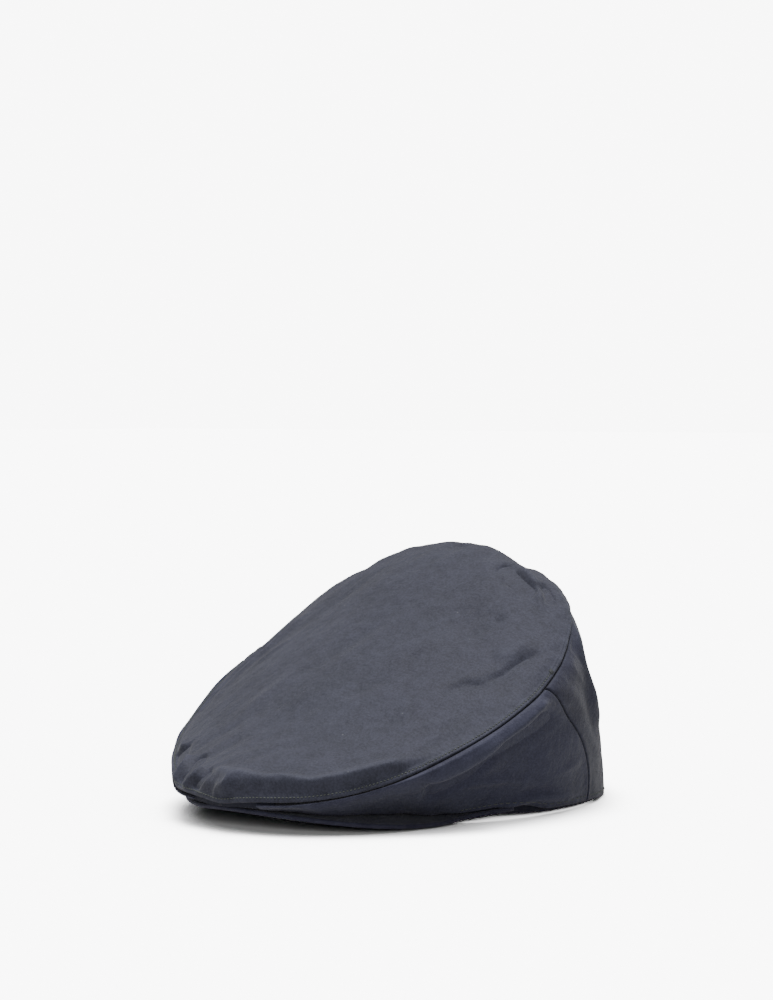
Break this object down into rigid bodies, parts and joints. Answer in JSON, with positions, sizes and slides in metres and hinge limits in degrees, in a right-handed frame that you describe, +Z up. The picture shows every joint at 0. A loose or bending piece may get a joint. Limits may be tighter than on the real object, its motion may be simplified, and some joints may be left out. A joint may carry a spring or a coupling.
{
  "type": "flat cap",
  "caption": "Waxed-cotton flat cap: one smooth top panel over side and back panels, stiff peak, sweatband.",
  "frame": {"origin": "middle of the cap's box in plan, on the surface that the cap rests on", "axes": "+Z up, the peak points along -Y, the wearer's left is +X"},
  "size_m": [0.2018, 0.254, 0.1291],
  "materials": {
    "top_cloth": "dark navy waxed cotton, soft sheen",
    "side_cloth": "dark navy waxed cotton, soft sheen",
    "peak_cloth": "dark navy waxed cotton over a stiff board",
    "band_cloth": "dark navy cotton band, matt"
  },
  "bodies": {
    "root": {"top_panel": "top_cloth", "side_panel_left": "side_cloth", "side_panel_right": "side_cloth", "back_panel": "side_cloth", "peak": "peak_cloth", "sweatband": "band_cloth"}
  },
  "joints": []
}
